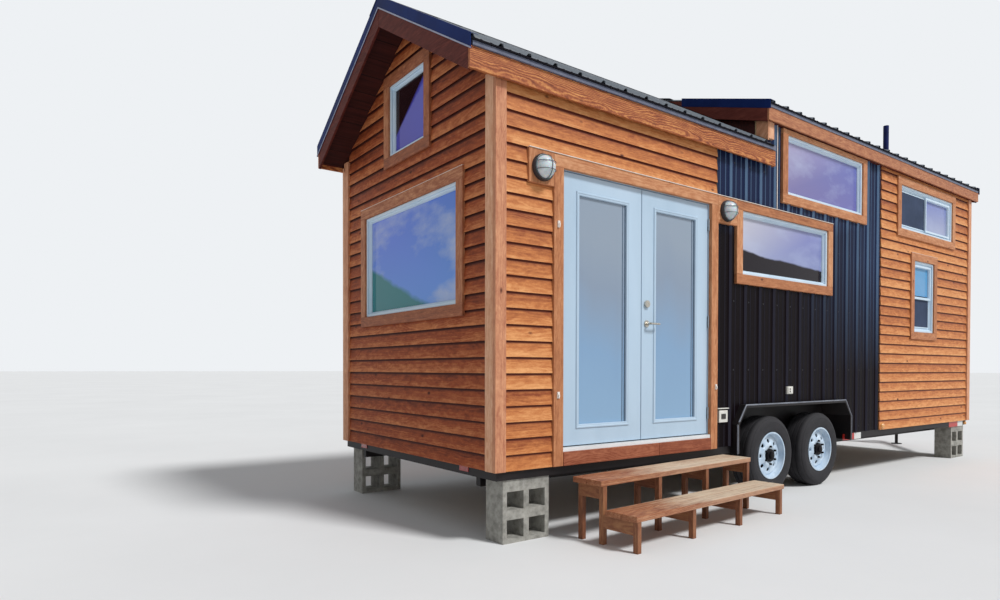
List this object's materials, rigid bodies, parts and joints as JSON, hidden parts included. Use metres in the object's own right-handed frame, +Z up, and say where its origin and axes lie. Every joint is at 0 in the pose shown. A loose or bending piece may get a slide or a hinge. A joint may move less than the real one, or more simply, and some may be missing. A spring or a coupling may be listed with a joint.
{
  "type": "tiny house on wheels",
  "caption": "Gabled tiny house with cedar lap siding, black ribbed metal, a dormer roof and hinged double doors, on a tandem-axle trailer.",
  "frame": {"origin": "on the ground, under the middle of the whole object's box, steps and drawbar included", "axes": "+X along the house towards the hitch, +Y from the door side to the back, +Z up"},
  "size_m": [9.377, 3.212, 4.1566],
  "materials": {
    "frame_steel": "satin black",
    "tyre_rubber": "dusty black",
    "wheel_steel": "gloss white",
    "hitch_steel": "dark",
    "concrete": "rough",
    "framing_wood": "matt",
    "floor_wood": "satin",
    "roof_wood": "dark stain",
    "cedar": "satin stain",
    "trim_cedar": "satin stain",
    "rake_wood": "dark stain",
    "ribbed_metal": "satin",
    "edge_metal": "satin",
    "window_vinyl": "satin white",
    "window_glass": "clear",
    "door_paint": "satin pale blue",
    "door_glass": "frosted",
    "nickel": "satin",
    "lamp": "gloss white",
    "cover_plastic": "cream",
    "pipe": "dark",
    "step_wood": "worn stain"
  },
  "bodies": {
    "house": {"trailer_rails": "frame_steel", "cross_members": "frame_steel", "drawbar": "frame_steel", "coupler": "hitch_steel", "tongue_jack": "hitch_steel", "axles": "frame_steel", "springs": "frame_steel", "fenders": "frame_steel", "support_blocks": "concrete", "floor": "floor_wood", "gable_wall": "framing_wood", "hitch_end_wall": "framing_wood", "door_wall_corner": "framing_wood", "door_wall_head": "framing_wood", "door_wall_main": "framing_wood", "back_wall": "framing_wood", "dormer_cheeks": "ribbed_metal", "loft_floor": "floor_wood", "ridge_beam": "framing_wood", "steep_roof": "roof_wood", "dormer_roof": "roof_wood", "cedar_siding": "cedar", "metal_wall_panel": "ribbed_metal", "steep_roof_metal": "ribbed_metal", "dormer_roof_metal": "ribbed_metal", "ridge_cap": "ribbed_metal", "fascias": "trim_cedar", "rakes": "rake_wood", "metal_trims": "edge_metal", "corner_boards": "trim_cedar", "door_trim": "trim_cedar", "window_trims": "trim_cedar", "window_frames": "window_vinyl", "window_glass": "window_glass", "door_frame": "door_paint", "threshold": "window_vinyl", "wall_lights": "lamp", "outlets": "cover_plastic", "vent_pipe": "pipe", "step_planks": "step_wood", "step_posts": "step_wood"},
    "left_leaf": {"left_door": "door_paint", "left_door_glass": "door_glass"},
    "right_leaf": {"right_door": "door_paint", "right_door_glass": "door_glass", "door_lever": "nickel"},
    "rear_left_wheel": {"tyre_rear_left": "tyre_rubber", "wheel_rear_left": "wheel_steel"},
    "rear_right_wheel": {"tyre_rear_right": "tyre_rubber", "wheel_rear_right": "wheel_steel"},
    "front_left_wheel": {"tyre_front_left": "tyre_rubber", "wheel_front_left": "wheel_steel"},
    "front_right_wheel": {"tyre_front_right": "tyre_rubber", "wheel_front_right": "wheel_steel"}
  },
  "joints": [
    {"name": "left_door_hinge", "type": "hinge", "parent": "house", "child": "left_leaf", "pos_m": [-3.8525, -0.93517, 1.599], "axis": [0, 0, -1], "range_deg": [0, 100]},
    {"name": "right_door_hinge", "type": "hinge", "parent": "house", "child": "right_leaf", "pos_m": [-2.1955, -0.93517, 1.599], "axis": [0, 0, 1], "range_deg": [0, 100]},
    {"name": "rear_left_wheel_spin", "type": "hinge", "parent": "house", "child": "rear_left_wheel", "pos_m": [-1.2695, -0.86067, 0.368], "axis": [0, 1, 0], "continuous": true},
    {"name": "rear_right_wheel_spin", "type": "hinge", "parent": "house", "child": "rear_right_wheel", "pos_m": [-1.2695, 1.44433, 0.368], "axis": [0, 1, 0], "continuous": true},
    {"name": "front_left_wheel_spin", "type": "hinge", "parent": "house", "child": "front_left_wheel", "pos_m": [-0.4055, -0.86067, 0.368], "axis": [0, 1, 0], "continuous": true},
    {"name": "front_right_wheel_spin", "type": "hinge", "parent": "house", "child": "front_right_wheel", "pos_m": [-0.4055, 1.44433, 0.368], "axis": [0, 1, 0], "continuous": true}
  ]
}
